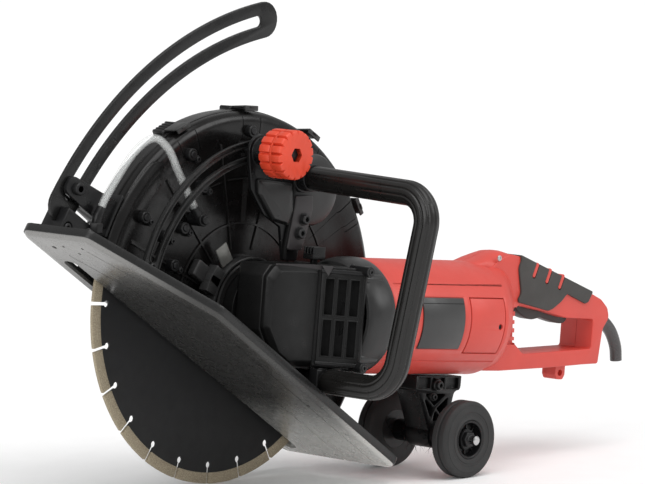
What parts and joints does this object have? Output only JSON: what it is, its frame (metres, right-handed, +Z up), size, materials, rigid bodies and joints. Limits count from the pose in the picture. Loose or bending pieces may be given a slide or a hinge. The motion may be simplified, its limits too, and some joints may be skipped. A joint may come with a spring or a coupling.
{
  "type": "concrete cut-off saw",
  "caption": "Hand-held electric cut-off saw: large segmented diamond blade under a tilting hood and base plate, D front handle, rear trigger handle and small wheels.",
  "frame": {"origin": "centre of the footprint of the whole saw's bounding box, on the ground that the blade and wheels stand on", "axes": "+X runs back towards the rear handle along the saw's length, +Y runs along the spindle from the motor's side to the blade's side, +Z is up from the ground"},
  "size_m": [0.7679, 0.2688, 0.4789],
  "materials": {
    "red_plastic": "satin moulded, fine texture",
    "black_plastic": "semi-gloss moulded",
    "grey_plastic": "satin",
    "trigger_plastic": "satin",
    "rubber": "soft matt",
    "tyre": "matt solid rubber",
    "black_steel": "black powder coat, semi-gloss",
    "blade": "matt black core, sintered tan segments",
    "bright_steel": "zinc-plated",
    "gear_steel": "ground",
    "laminations": "lacquered laminations",
    "copper": "drawn copper",
    "carbon": "pressed carbon",
    "clear_hose": "clear soft PVC",
    "label": "blank foil label"
  },
  "bodies": {
    "machine": {"gear_case": "black_plastic", "gear_case_cap": "black_plastic", "vent_grille": "black_plastic", "fan_housing": "black_plastic", "motor_housing": "red_plastic", "brush_cover": "red_plastic", "name_plate": "label", "stator": "laminations", "bearing_plate": "black_steel", "armature_bearing_front": "bright_steel", "armature_bearing_rear": "bright_steel", "carbon_brush_near": "carbon", "carbon_brush_far": "carbon", "spindle_bearing_front": "bright_steel", "spindle_bearing_rear": "bright_steel", "rear_handle_near": "red_plastic", "rear_handle_far": "red_plastic", "grip_pad": "rubber", "switch_module": "black_plastic", "cable_sleeve": "rubber", "front_handle_bar": "black_steel", "front_handle_grip": "rubber", "handle_bracket": "grey_plastic", "support_bracket": "black_plastic", "wheel_axle": "bright_steel"},
    "blade_shaft": {"diamond_blade": "blade", "inner_flange": "bright_steel", "outer_flange": "bright_steel", "blade_bolt": "black_steel", "spindle": "gear_steel", "crown_gear": "gear_steel"},
    "armature": {"armature_shaft": "gear_steel", "armature_core": "laminations", "commutator": "copper", "fan": "black_plastic", "pinion": "gear_steel"},
    "trigger": {"trigger": "trigger_plastic"},
    "lock_off_button": {"lock_off_button": "black_plastic"},
    "spindle_lock_button": {"spindle_lock_button": "black_plastic"},
    "knob": {"clamp_knob": "red_plastic", "knob_screw": "black_steel"},
    "wheel_near": {"wheel_hub_near": "black_plastic", "tyre_near": "tyre"},
    "wheel_far": {"wheel_hub_far": "black_plastic", "tyre_far": "tyre"},
    "guard": {"guard_inner_shell": "black_plastic", "guard_outer_shell": "black_plastic", "guard_clip_front": "black_plastic", "guard_clip_top": "black_plastic", "guard_clip_rear": "black_plastic", "guard_clip_lower": "black_plastic", "guide_rail": "black_steel", "front_bracket": "black_plastic", "water_hose": "clear_hose", "pivot_bolt_near": "black_steel", "pivot_bolt_far": "black_steel"},
    "base": {"base_plate": "black_steel", "depth_arc": "black_steel", "arc_block": "black_plastic"}
  },
  "joints": [
    {"name": "blade_spin", "type": "hinge", "parent": "machine", "child": "blade_shaft", "pos_m": [-0.13, 0.1091, 0.1775], "axis": [0, 1, 0], "continuous": true},
    {"name": "armature_spin", "type": "hinge", "parent": "machine", "child": "armature", "pos_m": [0.01936, 0.0191, 0.16364], "axis": [0.9957, 0, -0.0924], "continuous": true},
    {"name": "guard_turn", "type": "hinge", "parent": "machine", "child": "guard", "pos_m": [-0.13, 0.1091, 0.1775], "axis": [0, 1, 0], "range_deg": [0, 60]},
    {"name": "base_tilt", "type": "hinge", "parent": "guard", "child": "base", "pos_m": [-0.02908, 0.1091, 0.06369], "axis": [0, 1, 0], "range_deg": [-40, 0]},
    {"name": "wheel_near_spin", "type": "hinge", "parent": "machine", "child": "wheel_near", "pos_m": [0.07911, -0.0319, 0.03909], "axis": [0, 1, 0], "continuous": true},
    {"name": "wheel_far_spin", "type": "hinge", "parent": "machine", "child": "wheel_far", "pos_m": [0.07911, 0.0701, 0.03909], "axis": [0, 1, 0], "continuous": true},
    {"name": "trigger_press", "type": "hinge", "parent": "machine", "child": "trigger", "pos_m": [0.20731, 0.0191, 0.16529], "axis": [0, -1, 0], "range_deg": [0, 7], "stiffness_Nm_per_rad": 0.8, "springref_deg": -14.32},
    {"name": "lock_off_press", "type": "slide", "parent": "machine", "child": "lock_off_button", "axis": [0, -1, 0], "range_m": [0, 0.004], "stiffness_N_per_m": 400, "springref_m": -0.004},
    {"name": "spindle_lock_press", "type": "slide", "parent": "machine", "child": "spindle_lock_button", "axis": [-0.0924, 0, -0.9957], "range_m": [0, 0.004], "stiffness_N_per_m": 600, "springref_m": -0.004},
    {"name": "knob_turn", "type": "hinge", "parent": "machine", "child": "knob", "pos_m": [-0.13749, 0.0141, 0.33632], "axis": [0, 1, 0], "continuous": true}
  ],
  "couplings": [
    {"joint": "armature_spin", "follows": "blade_spin", "ratio": -4.875}
  ]
}
